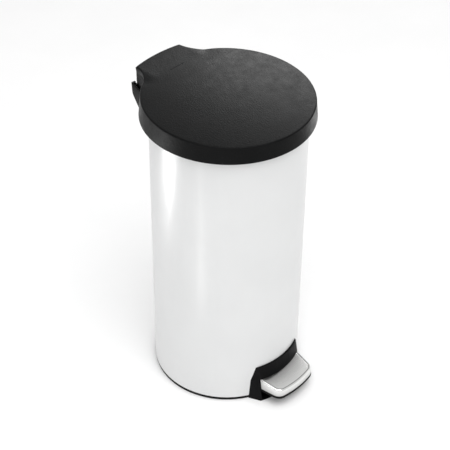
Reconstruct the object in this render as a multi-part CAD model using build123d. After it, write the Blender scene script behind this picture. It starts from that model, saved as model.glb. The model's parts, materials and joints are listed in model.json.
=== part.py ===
from build123d import *
import os
from math import cos, radians, sin, sqrt, tan

# A round step-on waste bin: painted steel body, black plastic lid with a rear hinge block,
# stainless pedal, hidden lever, push rod and damper, and a lift-out inner bucket.
# Millimetres. Origin: centre of the body at floor level. +Z up, the pedal faces -Y.

# --- body -------------------------------------------------------------------------------
BODY_R = 145.0
SHEET = 0.8
SHELL_IN = BODY_R - SHEET
SHELL_BOTTOM = 8.0
SHELL_TOP = 586.0
PEDAL_GAP_HALF, PEDAL_GAP_TOP = 55.5, 58.0
THREAD_R = 1.6

# --- pedal mechanism ----------------------------------------------------------------------
PIVOT_Y, PIVOT_Z = -70.0, 20.0
TIP_Y, TIP_Z = 138.0, 15.0
ROD_Y = TIP_Y
ROD_R = 2.5
LINK_R = 2.5
AXLE_R = 3.0
RUNNING = 0.08

# --- lid hinge ----------------------------------------------------------------------------
HINGE_Y, HINGE_Z = 172.0, 600.0
HINGE_PIN_R = 3.0
CRANK_R = 30.0
CRANK_DROP = 37.5
CRANK_Y = HINGE_Y - CRANK_R * cos(radians(CRANK_DROP))
CRANK_Z = HINGE_Z - CRANK_R * sin(radians(CRANK_DROP))
CRANK_PIN_R = 2.5

# --- lid ----------------------------------------------------------------------------------
LID_Y = 1.9
SKIRT_Z = 585.0
SKIRT_R = 160.3
RIM_R = 157.2
RIM_Z = 621.3
LID_TILT = 1.75
LID_CROWN = 10.6
LID_WALL = 3.0
BLOCK_TOP = 628.5
BLOCK_BACK = 190.3
BLOCK_BOW = 5.3
BLOCK_HEEL, BLOCK_HEEL_Z = 186.0, 598.0
BLOCK_CORNER_R = 9.0
BLOCK_HALF = 54.6
BLOCK_WALL = 2.5
LUG_IN, LUG_OUT = 31.0, 37.0
LOBE_R = 8.5
BUSH_R = 4.5
LINER_Z = 597.0
LINER_R = 147.5
LINER_WALL = 2.5

# --- rear hinge housing ---------------------------------------------------------------------
CHEEK_HALF = 60.0
CHEEK_WALL = 3.6
EAR_IN, EAR_OUT = 40.0, 46.0
NOTCH_HALF, NOTCH_Z = 49.6, 584.0
WALL_TOP = 590.3

# --- collar and bucket ------------------------------------------------------------------------
COLLAR_TOP = 592.0
COLLAR_OUT = 149.0
COLLAR_LOW = 579.0
LEDGE_Z = 584.0
LEDGE_R = 133.5
REAR_GAP = 18.0
BUCKET_BOTTOM = 63.5
BUCKET_LOW_R = 121.0
BUCKET_TOP_R = 129.0
BUCKET_RIM_R = 138.5
BUCKET_WALL = 2.0

# --- pedal --------------------------------------------------------------------------------
PEDAL_HALF = 56.0
PEDAL_NOSE = 50.0
PEDAL_BACK = -141.0
PEDAL_SHOULDER = -149.0
PEDAL_CORNER_R = 8.0
PEDAL_R = 196.0
CREASE_R = 190.3
CREASE_Z = 44.9
PEDAL_SLOPE = 9.5
CAP_SHEET = 1.2
CAP_LOW = 28.0
LIP_LOW = 24.0

# --- pedal housing --------------------------------------------------------------------------
HOUSING_TOP = 79.0
HOUSING_LOW = 0.6
HOUSING_WAIST = 48.0
HOUSING_WALL = 2.6
OPENING_HALF = 57.0
OPENING_TOP = 52.0

# --- base ----------------------------------------------------------------------------------
FLOOR_LOW, FLOOR_TOP = 1.5, 4.0
LEDGE_IN = 136.5
PLATE_R = 139.0
RING_LOW = 1.0
SPIGOT_IN, SPIGOT_TOP = 141.5, 30.0
COVER_R = 138.0
COVER_LOW, COVER_TOP = 58.0, 60.5
POST_R = 118.0
POST_ANGLES = (45, 135, 225, 315)
RIB_ANGLES = (30, 150, 205, 335)
RIB_TOP = 16.0
BOSS_IN, BOSS_OUT = 20.0, 27.0
FOOT_CIRCLE = 118.0
FOOT_R = 9.0
FOOT_TOP = 2.5
FEET = 5
SCREW_R = 1.75
SCREW_CLEAR_R = 2.1
SCREW_HEAD_R = 3.6

# --- damper --------------------------------------------------------------------------------
DAMPER_X = -28.0
DAMPER_Y = sqrt(137.7 ** 2 - DAMPER_X ** 2)
DAMPER_R = 5.5
DAMPER_WALL = 1.0
DAMPER_LOW, DAMPER_TOP = 300.0, 440.0
PISTON_LOW, PISTON_TOP = 330.0, 338.0
PISTON_ROD_R = 1.5
ARM_LOW, ARM_TOP = 464.0, 468.0
CLIP_HEIGHTS = (322.0, 418.0)

GUIDE_HEIGHTS = (150.0, 330.0, 540.0)
GUIDE_HALF = 6.0
SPRING_LOW = 234.0
SPRING_TOP = GUIDE_HEIGHTS[1] - GUIDE_HALF


def block(x0, x1, y0, y1, z0, z1):
    """A box given by its low and high sides."""
    centre = Pos((x0 + x1) / 2, (y0 + y1) / 2, (z0 + z1) / 2)
    return centre * Box(x1 - x0, y1 - y0, z1 - z0)


def disc(radius, z0, z1, x=0.0, y=0.0):
    """An upright cylinder from z0 to z1."""
    return Pos(x, y, (z0 + z1) / 2) * Cylinder(radius, z1 - z0)


def ring(inner, outer, z0, z1, x=0.0, y=0.0):
    """An upright tube from z0 to z1."""
    return disc(outer, z0, z1, x, y) - disc(inner, z0 - 1, z1 + 1, x, y)


def cross_pin(radius, x0, x1, y, z):
    """A cylinder along X from x0 to x1."""
    return Pos((x0 + x1) / 2, y, z) * Rot(0, 90, 0) * Cylinder(radius, x1 - x0)


def fore_pin(radius, y0, y1, x, z):
    """A cylinder along Y from y0 to y1."""
    return Pos(x, (y0 + y1) / 2, z) * Rot(90, 0, 0) * Cylinder(radius, y1 - y0)


def side_prism(points, x0, x1):
    """A side view given as (y, z) points, extruded from x0 to x1."""
    face = Plane.YZ.offset(x0) * make_face(Polyline(*points, close=True))
    return extrude(face, amount=x1 - x0)


def turned(points):
    """A (radius, z) outline turned once about the body's axis."""
    return revolve(Plane.XZ * make_face(Polyline(*points, close=True)), axis=Axis.Z)


def both_sides(solid):
    """The solid and its mirror image across the middle plane."""
    return [solid, mirror(solid, about=Plane.YZ)]


def on_circle(radius, degrees):
    """The (x, y) place at an angle from +X."""
    return radius * cos(radians(degrees)), radius * sin(radians(degrees))


def save(node, solids):
    """Write one node as parts/NODE.step."""
    pieces = []
    for item in solids:
        pieces.extend(item.solids())
    shape = pieces[0] if len(pieces) == 1 else Compound(children=pieces)
    shape.label = node
    export_step(shape, f"parts/{node}.step")


# --- body and base ---------------------------------------------------------------------------

HOUSING_SCREWS = ((40.0, 66.0), (60.5, 40.0))
BRACKET_SCREWS = ((34.0, 515.0), (34.0, 552.0))


def wall_y(x, radius=BODY_R):
    """How far the round wall stands from the middle plane at x."""
    return sqrt(radius ** 2 - x ** 2)


def body_shell():
    shell = ring(SHELL_IN, BODY_R, SHELL_BOTTOM, SHELL_TOP)
    shell -= block(-PEDAL_GAP_HALF, PEDAL_GAP_HALF, -160, -100, 0, PEDAL_GAP_TOP)
    shell -= block(-REAR_GAP, REAR_GAP, 120, 160, 560, 600)
    for x, z in HOUSING_SCREWS:
        for side in (-1, 1):
            shell -= fore_pin(SCREW_CLEAR_R, -150, -120, side * x, z)
    for x, z in BRACKET_SCREWS:
        for side in (-1, 1):
            shell -= fore_pin(SCREW_CLEAR_R, 120, 150, side * x, z)
    return [shell]


def base_ring():
    """The black ring under the body, with a spigot inside the shell and a ledge over the plate."""
    body = turned([(PLATE_R + 0.2, RING_LOW), (SHELL_IN, RING_LOW), (SHELL_IN, SPIGOT_TOP),
                   (SPIGOT_IN, SPIGOT_TOP), (SPIGOT_IN, SHELL_BOTTOM), (LEDGE_IN, SHELL_BOTTOM),
                   (LEDGE_IN, FLOOR_TOP), (PLATE_R + 0.2, FLOOR_TOP)])
    body -= block(-56, 56, -150, -118, FLOOR_TOP, 40)
    return [body - block(-16, 16, 124, 150, FLOOR_TOP, 40)]


def base_plate():
    """The floor plate, with its ribs, cover posts and the two bosses of the pedal's axle."""
    plate = disc(PLATE_R, FLOOR_LOW, FLOOR_TOP)
    for angle in RIB_ANGLES:
        plate += Rot(0, 0, angle) * block(46, LEDGE_IN - 1, -1.2, 1.2, FLOOR_TOP, RIB_TOP)
    for angle in POST_ANGLES:
        x, y = on_circle(POST_R, angle)
        plate += disc(6, FLOOR_TOP, COVER_LOW, x, y)
        plate -= disc(SCREW_R, 40, COVER_LOW + 1, x, y)
    boss = [(PIVOT_Y - 16, FLOOR_TOP), (PIVOT_Y + 16, FLOOR_TOP),
            (PIVOT_Y + 7, PIVOT_Z + 8), (PIVOT_Y - 7, PIVOT_Z + 8)]
    for cheek in both_sides(side_prism(boss, BOSS_IN, BOSS_OUT)):
        plate += cheek
    plate -= cross_pin(AXLE_R, -40, 40, PIVOT_Y, PIVOT_Z)
    for x, y in foot_places():
        plate -= disc(FOOT_R, 0, FOOT_TOP, x, y)
    return [plate]


def foot_places():
    return [on_circle(FOOT_CIRCLE, 90 + 360 / FEET * k) for k in range(FEET)]


def rubber_feet():
    return [disc(FOOT_R, 0, FOOT_TOP, x, y) for x, y in foot_places()]


def mechanism_cover():
    cover = disc(COVER_R, COVER_LOW, COVER_TOP) - block(-15, 15, 123, 145, 40, 70)
    for angle in POST_ANGLES:
        x, y = on_circle(POST_R, angle)
        cover -= disc(SCREW_CLEAR_R, 50, 70, x, y)
    return [cover]


def cover_screws():
    screws = []
    for angle in POST_ANGLES:
        x, y = on_circle(POST_R, angle)
        shank = disc(SCREW_R, 42, COVER_TOP, x, y)
        screws.append(shank + disc(SCREW_HEAD_R, COVER_TOP, COVER_TOP + 1.8, x, y))
    return screws


# --- pedal housing -------------------------------------------------------------------------------

def housing_form(inset, z0, z1):
    """The flared hood, its sides splayed, shrunk by inset all round."""
    def section(z):
        upper = min(1.0, (HOUSING_TOP - z) / (HOUSING_TOP - HOUSING_WAIST))
        lower = max(0.0, (HOUSING_WAIST - z) / HOUSING_WAIST)
        back_x = 58.0 + 9.4 * upper + 3.0 * lower - 1.5 * inset
        corner_x = 55.0 + 0.9 * upper + 4.2 * lower - inset
        front_r = 149.5 + 5.4 * upper + 8.1 * lower - inset
        corner_y = -sqrt(front_r ** 2 - corner_x ** 2) + 1.0
        back_y = -wall_y(back_x) + 1.5 * inset
        left, right = (-corner_x, corner_y), (corner_x, corner_y)
        outline = Polyline(left, (-back_x, back_y), (-back_x, -118), (back_x, -118),
                           (back_x, back_y), right)
        face = make_face([outline, ThreePointArc(right, (0, -front_r), left)])
        return Pos(0, 0, z) * face
    return loft([section(z0), section(HOUSING_WAIST), section(z1)], ruled=True)


def pedal_housing():
    hood = housing_form(0, HOUSING_LOW, HOUSING_TOP)
    hood -= housing_form(HOUSING_WALL, HOUSING_LOW + 2, HOUSING_TOP - HOUSING_WALL)
    for x, z in HOUSING_SCREWS:
        for side in (-1, 1):
            hood += fore_pin(4.5, -wall_y(x) - 6, -wall_y(x) + 6, side * x, z)
    hood &= housing_form(0, HOUSING_LOW, HOUSING_TOP)
    hood -= disc(BODY_R, 0, 100)
    hood -= block(-OPENING_HALF, OPENING_HALF, -175, -130, HOUSING_LOW + 2, OPENING_TOP)
    for x, z in HOUSING_SCREWS:
        for side in (-1, 1):
            hood -= fore_pin(THREAD_R, -wall_y(x) - 4.5, -120, side * x, z)
    return [hood]


def housing_screws():
    screws = []
    for x, z in HOUSING_SCREWS:
        for side in (-1, 1):
            seat = -wall_y(x + SCREW_HEAD_R, SHELL_IN) + 0.05
            shank = fore_pin(THREAD_R, -wall_y(x) - 4.5, seat, side * x, z)
            screws.append(shank + fore_pin(SCREW_HEAD_R, seat, seat + 2, side * x, z))
    return screws


# --- pedal ----------------------------------------------------------------------------------------

def pedal_plan(inset, back):
    """The pedal seen from above, shrunk by inset, as a prism that ends at the given back."""
    half, nose = PEDAL_HALF - inset, PEDAL_NOSE - inset
    nose_r = PEDAL_R - inset
    nose_y = -sqrt(nose_r ** 2 - nose ** 2)
    sides = Polyline((-nose, nose_y), (-half, PEDAL_SHOULDER), (-half, back),
                     (half, back), (half, PEDAL_SHOULDER), (nose, nose_y))
    front = ThreePointArc((nose, nose_y), (0, -nose_r), (-nose, nose_y))
    prism = extrude(make_face([sides, front]), amount=80)
    corners = prism.edges().filter_by(Axis.Z).sort_by(Axis.Y)[0:2]
    return fillet(corners, PEDAL_CORNER_R - inset)


def pedal_top(drop, low_back, low_front):
    """The sloping tread and front bevel, turned about the body axis, lowered by drop."""
    back_r = 130.0
    back_z = CREASE_Z + (CREASE_R - back_r) * tan(radians(PEDAL_SLOPE))
    return turned([(back_r, low_back), (back_r, back_z - drop),
                   (CREASE_R - 0.6 * drop, CREASE_Z - drop),
                   (PEDAL_R + 0.4 - drop, 27.0), (PEDAL_R + 0.4 - drop, low_front)])


def pedal_cap():
    cap = pedal_plan(0, PEDAL_BACK) & pedal_top(0, 19.6, CAP_LOW)
    return [cap - (pedal_plan(CAP_SHEET, PEDAL_BACK + 5) & pedal_top(CAP_SHEET, 5, 5))]


def pedal_core():
    core = pedal_plan(CAP_SHEET, PEDAL_BACK) & pedal_top(CAP_SHEET, 20, LIP_LOW)
    pocket = [(-192, 22), (-192, 34.5), (-186, 37), (-130, 37), (-130, 15), (-160, 15)]
    core -= side_prism(pocket, -36, 36)
    for x, y in PEDAL_SCREWS:
        core -= disc(SCREW_R, 30, 43, x, y)
    return [core]


PEDAL_SCREWS = ((-25.0, -160.0), (25.0, -160.0), (-25.0, -178.0), (25.0, -178.0))
PLATE_LOW, PLATE_TOP = 34.0, 36.5


def lever_outline():
    """Side view of the lever channel, from the pedal plate to the rear fork."""
    top = [(-184, PLATE_TOP), (-146, PLATE_TOP), (-70, 29), (TIP_Y, 21.5)]
    bottom = [(TIP_Y + 4.5, 17), (TIP_Y + 4.5, 12), (TIP_Y, 9.5), (-60, 12), (-80, 12),
              (-150, 21), (-184, 31)]
    return top + bottom


def pedal_lever():
    lever = side_prism(lever_outline(), -12, 12)
    hollow = [(-190, PLATE_LOW), (-146, PLATE_LOW), (-70, 27), (160, 19), (160, 0),
              (-60, 0), (-190, 12)]
    lever -= side_prism(hollow, -10, 10)
    lever += block(-34, 34, -184, -148, PLATE_LOW, PLATE_TOP)
    lever -= block(-10, 10, 122, 150, 0, 40)
    lever -= cross_pin(BUSH_R, -20, 20, PIVOT_Y, PIVOT_Z)
    lever -= cross_pin(LINK_R, -20, 20, TIP_Y, TIP_Z)
    for x, y in PEDAL_SCREWS:
        lever -= disc(SCREW_CLEAR_R, 20, 45, x, y)
    return [lever]


def pedal_screws():
    screws = []
    for x, y in PEDAL_SCREWS:
        shank = disc(SCREW_R, PLATE_LOW, 42, x, y)
        screws.append(shank + disc(SCREW_HEAD_R, PLATE_LOW - 2, PLATE_LOW, x, y))
    return screws


def axle_bushes():
    bush = cross_pin(BUSH_R, 10, 12, PIVOT_Y, PIVOT_Z) + cross_pin(6.5, 12, 14, PIVOT_Y, PIVOT_Z)
    bush -= cross_pin(AXLE_R + RUNNING, 5, 20, PIVOT_Y, PIVOT_Z)
    return both_sides(bush)


def pedal_axle():
    return [cross_pin(AXLE_R, -30, 30, PIVOT_Y, PIVOT_Z)]


def axle_clips():
    clip = cross_pin(5.2, 27.3, 28.3, PIVOT_Y, PIVOT_Z)
    clip -= cross_pin(AXLE_R, 20, 35, PIVOT_Y, PIVOT_Z)
    return both_sides(clip)


def link_pin():
    pin = cross_pin(LINK_R, -14, 14, TIP_Y, TIP_Z)
    return [pin + cross_pin(4.0, 12.2, 14, TIP_Y, TIP_Z)]


# --- push rod, spring and damper ------------------------------------------------------------------

def push_rod():
    return [disc(ROD_R, 18, CRANK_Z - 8, 0, ROD_Y)]


def rod_foot():
    foot = block(-6, 6, 131.5, 143, 8, 25)
    slot = block(-9, 9, TIP_Y - 2.6, TIP_Y + 0.2, TIP_Z - 2.85, TIP_Z + 2.85)
    slot += cross_pin(2.85, -9, 9, TIP_Y - 2.6, TIP_Z)
    slot += cross_pin(2.85, -9, 9, TIP_Y + 0.2, TIP_Z)
    foot -= slot
    foot -= disc(ROD_R, 18, 30, 0, ROD_Y)
    return [foot]


def rod_yoke():
    front, back = CRANK_Y - 6.2, CRANK_Y
    reach = 3.4
    yoke = block(-6, 6, 133.5, back + 7, CRANK_Z - 8, CRANK_Z + 7.5)
    yoke += disc(4.3, CRANK_Z - 18, CRANK_Z - 8, 0, ROD_Y)
    slot = block(-9, 9, front, back, CRANK_Z - reach, CRANK_Z + reach)
    slot += cross_pin(reach, -9, 9, front, CRANK_Z)
    slot += cross_pin(reach, -9, 9, back, CRANK_Z)
    yoke -= slot
    yoke -= disc(ROD_R, CRANK_Z - 20, CRANK_Z - 8, 0, ROD_Y)
    return [yoke]


def spring_collar():
    return [ring(ROD_R, 5.6, SPRING_LOW - 4, SPRING_LOW, 0, ROD_Y)]


def return_spring():
    wire, coil = 1.2, 4.3
    low, high = SPRING_LOW + 0.9, SPRING_TOP - 0.9
    turns = 14
    path = Helix(pitch=(high - low) / turns, height=high - low, radius=coil)
    profile = Plane(origin=path @ 0, z_dir=path % 0) * Circle(wire / 2)
    return [Pos(0, ROD_Y, low) * sweep(profile, path=path)]


def rod_guides():
    guides = []
    for z in GUIDE_HEIGHTS:
        low, high = z - GUIDE_HALF, z + GUIDE_HALF
        guide = block(-9, 9, 133, 150, low, high) & disc(SHELL_IN, low, high)
        guides.append(guide - disc(ROD_R + RUNNING, low - 1, high + 1, 0, ROD_Y))
    return guides


def damper_cylinder():
    tube = disc(DAMPER_R, DAMPER_LOW, DAMPER_TOP, DAMPER_X, DAMPER_Y)
    tube -= disc(DAMPER_R - DAMPER_WALL, DAMPER_LOW + 3, DAMPER_TOP - 4, DAMPER_X, DAMPER_Y)
    tube -= disc(PISTON_ROD_R + RUNNING, DAMPER_TOP - 10, DAMPER_TOP + 5, DAMPER_X, DAMPER_Y)
    return [tube]


def damper_piston():
    bore = DAMPER_R - DAMPER_WALL
    piston = disc(bore - RUNNING, PISTON_LOW, PISTON_TOP, DAMPER_X, DAMPER_Y)
    return [piston + disc(PISTON_ROD_R, PISTON_TOP, ARM_TOP + 2, DAMPER_X, DAMPER_Y)]


def damper_bracket():
    arm = block(-34, 7, 120, 150, ARM_LOW, ARM_TOP) & ring(134, SHELL_IN - 0.8, ARM_LOW, ARM_TOP)
    arm -= disc(ROD_R, ARM_LOW - 1, ARM_TOP + 1, 0, ROD_Y)
    arm -= disc(PISTON_ROD_R, ARM_LOW - 1, ARM_TOP + 1, DAMPER_X, DAMPER_Y)
    return [arm]


def damper_clips():
    clips = []
    for z in CLIP_HEIGHTS:
        clip = block(-37, -19, 120, 150, z - 4, z + 4) & ring(133, SHELL_IN, z - 4, z + 4)
        clips.append(clip - disc(DAMPER_R, z - 5, z + 5, DAMPER_X, DAMPER_Y))
    return clips


# --- collar and bucket ----------------------------------------------------------------------------

def top_collar():
    collar = turned([(LEDGE_R, 580.5), (LEDGE_R, LEDGE_Z), (140.5, LEDGE_Z),
                     (140.5, COLLAR_TOP - 1.5), (142, COLLAR_TOP), (147.5, COLLAR_TOP),
                     (COLLAR_OUT, COLLAR_TOP - 1.5), (COLLAR_OUT, COLLAR_LOW),
                     (BODY_R, COLLAR_LOW), (BODY_R, SHELL_TOP), (SHELL_IN, SHELL_TOP),
                     (SHELL_IN, COLLAR_LOW), (141.2, COLLAR_LOW), (141.2, 580.5)])
    collar -= block(-REAR_GAP, REAR_GAP, 100, 160, 560, 600)
    return [collar]


def inner_bucket():
    rim = LEDGE_Z + 0.3
    top = 589.5
    inner_top = BUCKET_TOP_R - BUCKET_WALL
    floor = BUCKET_BOTTOM + 2.5
    bucket = turned([(0, BUCKET_BOTTOM), (BUCKET_LOW_R - 4, BUCKET_BOTTOM),
                     (BUCKET_LOW_R, BUCKET_BOTTOM + 4), (BUCKET_TOP_R, rim - 2),
                     (BUCKET_TOP_R, rim), (BUCKET_RIM_R, rim), (BUCKET_RIM_R, rim + 2.2),
                     (BUCKET_TOP_R + 1, rim + 2.2), (BUCKET_TOP_R + 0.5, top),
                     (inner_top, top), (inner_top, rim - 2),
                     (BUCKET_LOW_R - BUCKET_WALL, floor + 3),
                     (BUCKET_LOW_R - BUCKET_WALL - 3, floor), (0, floor)])
    bucket -= block(-60, 60, BUCKET_TOP_R + 1, 145, rim - 1, top + 1)
    for side in (-1, 1):
        grip = Pos(side * 128, 0, 552) * Rot(0, 90, 0)
        bucket -= grip * extrude(SlotOverall(90, 26, rotation=90), amount=20, both=True)
    return [bucket]


# --- rear hinge housing ---------------------------------------------------------------------------

def bracket_side(inset):
    """Side view of the hinge housing, shrunk by inset, as a face in (y, z)."""
    back = FilletPolyline((140 - inset, 488 + 1.5 * inset), (191 - inset, 568),
                          (192.5 - inset, 591.5), radius=24)
    top = Polyline((192.5 - inset, 591.5), (HINGE_Y, 583.5), (125, 583.5),
                   (125, 488), (140 - inset, 488 + 1.5 * inset))
    return make_face([back, top])


def bracket_prism(inset, half, top):
    face = Plane.YZ.offset(-half) * bracket_side(inset)
    prism = extrude(face, amount=2 * half)
    return prism & block(-half, half, 100, 220, 480, top)


def ear():
    """One hinge ear: an upright plate with a lobe round the pin."""
    leg = [(135, 505), (150, 505), (184, 560), (186, 578), (173, 583.5),
           (HINGE_Y - 2.5, 586), (HINGE_Y - 4, 592), (HINGE_Y - 8, 604), (150, 583.5),
           (135, 583.5)]
    plate = side_prism(leg, EAR_IN, EAR_OUT)
    return plate + cross_pin(LOBE_R, EAR_IN, EAR_OUT, HINGE_Y, HINGE_Z)


def hinge_bracket():
    half = CHEEK_HALF
    outer = bracket_prism(0, half, 600)
    rims = [e for e in outer.edges() if abs(abs(e.center().X) - half) < 0.01
            and e.center().Y > 142 and e.center().Z < 583]
    outer = fillet(rims, 5)
    inside = half - CHEEK_WALL
    cavity = bracket_prism(CHEEK_WALL, inside, 600)
    plate = ring(BODY_R, BODY_R + 3, 500, 562) & block(-50, 50, 100, 160, 500, 562)
    shell = outer - cavity
    shell -= block(-inside, inside, 180, 200, WALL_TOP, 600)
    shell -= block(-NOTCH_HALF, NOTCH_HALF, 180, 200, NOTCH_Z, 600)
    shell += plate & outer
    for part in both_sides(ear()):
        shell += part
    for x, z in BRACKET_SCREWS:
        for side in (-1, 1):
            shell += fore_pin(4.5, 138, 154, side * x, z)
    shell -= disc(BODY_R, 480, 600)
    shell -= disc(COLLAR_OUT, COLLAR_LOW, 600)
    shell -= block(-19.5, 19.5, 140, 152, 562, 600)
    shell -= cross_pin(HINGE_PIN_R, -60, 60, HINGE_Y, HINGE_Z)
    for x, z in BRACKET_SCREWS:
        for side in (-1, 1):
            shell -= fore_pin(THREAD_R, 120, 152, side * x, z)
    return [shell]


def bracket_screws():
    screws = []
    for x, z in BRACKET_SCREWS:
        for side in (-1, 1):
            seat = wall_y(x + SCREW_HEAD_R, SHELL_IN) - 0.05
            shank = fore_pin(THREAD_R, seat, 152, side * x, z)
            screws.append(shank + fore_pin(SCREW_HEAD_R, seat - 2, seat, side * x, z))
    return screws


def hinge_pin():
    return [cross_pin(HINGE_PIN_R, -48.6, 48.6, HINGE_Y, HINGE_Z)]


def hinge_pin_clips():
    clip = cross_pin(5.4, 46.8, 47.8, HINGE_Y, HINGE_Z)
    return both_sides(clip - cross_pin(HINGE_PIN_R, 40, 50, HINGE_Y, HINGE_Z))


# --- lid ------------------------------------------------------------------------------------------

def lid_form(inset, low):
    """Tapered skirt under a shallow crown, leaning so that it rises towards the hinge."""
    slope = (SKIRT_R - RIM_R) / (RIM_Z - SKIRT_Z)
    sphere_r = (RIM_R ** 2 + LID_CROWN ** 2) / (2 * LID_CROWN)
    reach = RIM_R - inset
    depth = RIM_Z - low + 10
    edge_z = crown_height(reach, sphere_r) - inset
    middle_z = crown_height(reach / 2, sphere_r) - inset
    low_edge = reach + slope * (depth + edge_z)
    outline = Polyline((reach, edge_z), (low_edge, -depth), (0, -depth), (0, LID_CROWN - inset))
    crown = ThreePointArc((0, LID_CROWN - inset), (reach / 2, middle_z), (reach, edge_z))
    form = revolve(Plane.XZ * make_face([outline, crown]), axis=Axis.Z)
    form = Pos(0, LID_Y, RIM_Z) * Rot(LID_TILT, 0, 0) * form
    return form & block(-200, 200, -200, 200, low, RIM_Z + 40)


def crown_height(reach, sphere_r):
    """Height of the crown over the rim plane, at a distance from the lid's middle."""
    return sqrt(sphere_r ** 2 - reach ** 2) - sphere_r + LID_CROWN


def block_plan(half, back):
    """The hinge block seen from above: a bowed back edge with rounded corners."""
    corner_y = back - BLOCK_BOW
    sides = Polyline((-half, corner_y), (-half, 110), (half, 110), (half, corner_y))
    bowed = ThreePointArc((half, corner_y), (0, back), (-half, corner_y))
    face = make_face([sides, bowed])
    return fillet(face.vertices().sort_by(Axis.Y)[2:], BLOCK_CORNER_R)


def block_form(inset, low):
    """The hinge block behind the lid: narrow below, with flared shoulders above."""
    half = BLOCK_HALF - inset
    back = BLOCK_BACK - inset
    top = BLOCK_TOP - inset
    edge = [(100, 600), (124, 619.5 - inset), (150, top), (back - 9, top),
            (back - 2.5, top - 3.4), (back, top - 10), (back, BLOCK_HEEL_Z)]
    under = [(BLOCK_HEEL, BLOCK_HEEL_Z), (HINGE_Y, SKIRT_Z), (100, SKIRT_Z)]
    if low < SKIRT_Z:
        under = [(back, low), (100, low)]
    side = side_prism(edge + under, -100, 100)
    narrow = Pos(0, 0, low) * extrude(block_plan(half, back), amount=640 - low)
    shoulder = [(90 - inset, 124), (74 - inset, 141), (65 - inset, 154 - inset),
                (59.5 - inset, 162 - inset), (half, 176 - inset), (0, 176 - inset), (0, 110),
                (90 - inset, 110)]
    low_shoulder = [(90 - inset, 124), (74 - inset, 141), (64 - inset, 151 - inset),
                    (58 - inset, 156 - inset), (0, 156 - inset), (0, 110), (90 - inset, 110)]
    form = narrow
    for outline, base in ((shoulder, 604 + inset), (low_shoulder, low)):
        face = Pos(0, 0, base) * make_face(Polyline(*outline, close=True))
        for wing in both_sides(extrude(face, amount=640 - base)):
            form += wing
    return form & side


def lid_lug():
    """A rib that hangs from the block and carries one hinge bush."""
    web = [(HINGE_Y - LOBE_R, BLOCK_TOP - 1.5), (HINGE_Y - LOBE_R, HINGE_Z),
           (HINGE_Y + LOBE_R, HINGE_Z), (HINGE_Y + LOBE_R, BLOCK_TOP - 1.5)]
    return side_prism(web, LUG_IN, LUG_OUT) + cross_pin(LOBE_R, LUG_IN, LUG_OUT, HINGE_Y, HINGE_Z)


CRANK_SCREWS = ((-21.0, 126.0), (21.0, 126.0), (-21.0, 148.0), (21.0, 148.0))
LINER_SCREWS = tuple(on_circle(104.0, angle) for angle in (20, 160, 230, 310))
CRANK_LOW, CRANK_TOP = 608.0, 610.5


def lid_shell():
    outer = lid_form(0, SKIRT_Z) + block_form(0, SKIRT_Z)
    lid = outer - lid_form(LID_WALL, SKIRT_Z - 5) - block_form(BLOCK_WALL, SKIRT_Z - 5)
    for lug in both_sides(lid_lug()):
        lid += lug & outer
    for x, y in CRANK_SCREWS:
        lid += disc(5, CRANK_TOP, 640, x, y) & outer
        lid -= disc(SCREW_R, CRANK_TOP - 1, CRANK_TOP + 8, x, y)
    for x, y in LINER_SCREWS:
        lid += disc(5, LINER_Z + LINER_WALL, 640, x, y) & outer
        lid -= disc(SCREW_R, LINER_Z, LINER_Z + 12, x, y)
    for bore in both_sides(cross_pin(BUSH_R, LUG_IN - 2, LUG_OUT + 2, HINGE_Y, HINGE_Z)):
        lid -= bore
    return [lid]


def lid_liner():
    liner = disc(LINER_R, LINER_Z, LINER_Z + LINER_WALL)
    liner -= block(-64, 64, 110, 160, 580, 620)
    for x, y in LINER_SCREWS:
        liner -= disc(SCREW_CLEAR_R, 590, 605, x, y)
    return [liner]


def liner_screws():
    screws = []
    for x, y in LINER_SCREWS:
        shank = disc(SCREW_R, LINER_Z, LINER_Z + 11, x, y)
        screws.append(shank + disc(SCREW_HEAD_R, LINER_Z - 1.6, LINER_Z, x, y))
    return screws


def lid_bumpers():
    places = [on_circle(143.8, angle) for angle in (25, 155, 225, 315)]
    return [disc(3.2, COLLAR_TOP + 0.4, LINER_Z, x, y) for x, y in places]


def lid_crank():
    flange = block(-29, 29, 118, 157, CRANK_LOW, CRANK_TOP)
    for x, y in CRANK_SCREWS:
        flange -= disc(SCREW_CLEAR_R, 600, 615, x, y)
    arm = [(140, CRANK_TOP), (CRANK_Y - 6, CRANK_Z), (CRANK_Y, CRANK_Z - 6),
           (CRANK_Y + 6, CRANK_Z - 4), (HINGE_Y + 5, HINGE_Z - 6.5), (HINGE_Y + 8, HINGE_Z),
           (HINGE_Y + 5, HINGE_Z + 6.5), (HINGE_Y - 4, CRANK_TOP)]
    crank = flange
    for plate in both_sides(side_prism(arm, 8, 10.5)):
        crank += plate
    crank += block(-10.5, 10.5, 157, HINGE_Y - 5, CRANK_LOW, CRANK_TOP)
    crank -= cross_pin(HINGE_PIN_R + RUNNING, -20, 20, HINGE_Y, HINGE_Z)
    crank -= cross_pin(CRANK_PIN_R, -20, 20, CRANK_Y, CRANK_Z)
    return [crank]


def crank_pin():
    pin = cross_pin(CRANK_PIN_R, -12.5, 12.5, CRANK_Y, CRANK_Z)
    return [pin + cross_pin(4.2, 10.5, 12.5, CRANK_Y, CRANK_Z)]


def crank_screws():
    screws = []
    for x, y in CRANK_SCREWS:
        shank = disc(SCREW_R, CRANK_LOW, CRANK_TOP + 7, x, y)
        screws.append(shank + disc(SCREW_HEAD_R, CRANK_LOW - 2, CRANK_LOW, x, y))
    return screws


def hinge_bushes():
    bush = cross_pin(BUSH_R, LUG_IN - 0.5, LUG_OUT, HINGE_Y, HINGE_Z)
    bush += cross_pin(6.5, LUG_OUT, LUG_OUT + 1.6, HINGE_Y, HINGE_Z)
    return both_sides(bush - cross_pin(HINGE_PIN_R + RUNNING, 25, 45, HINGE_Y, HINGE_Z))


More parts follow.
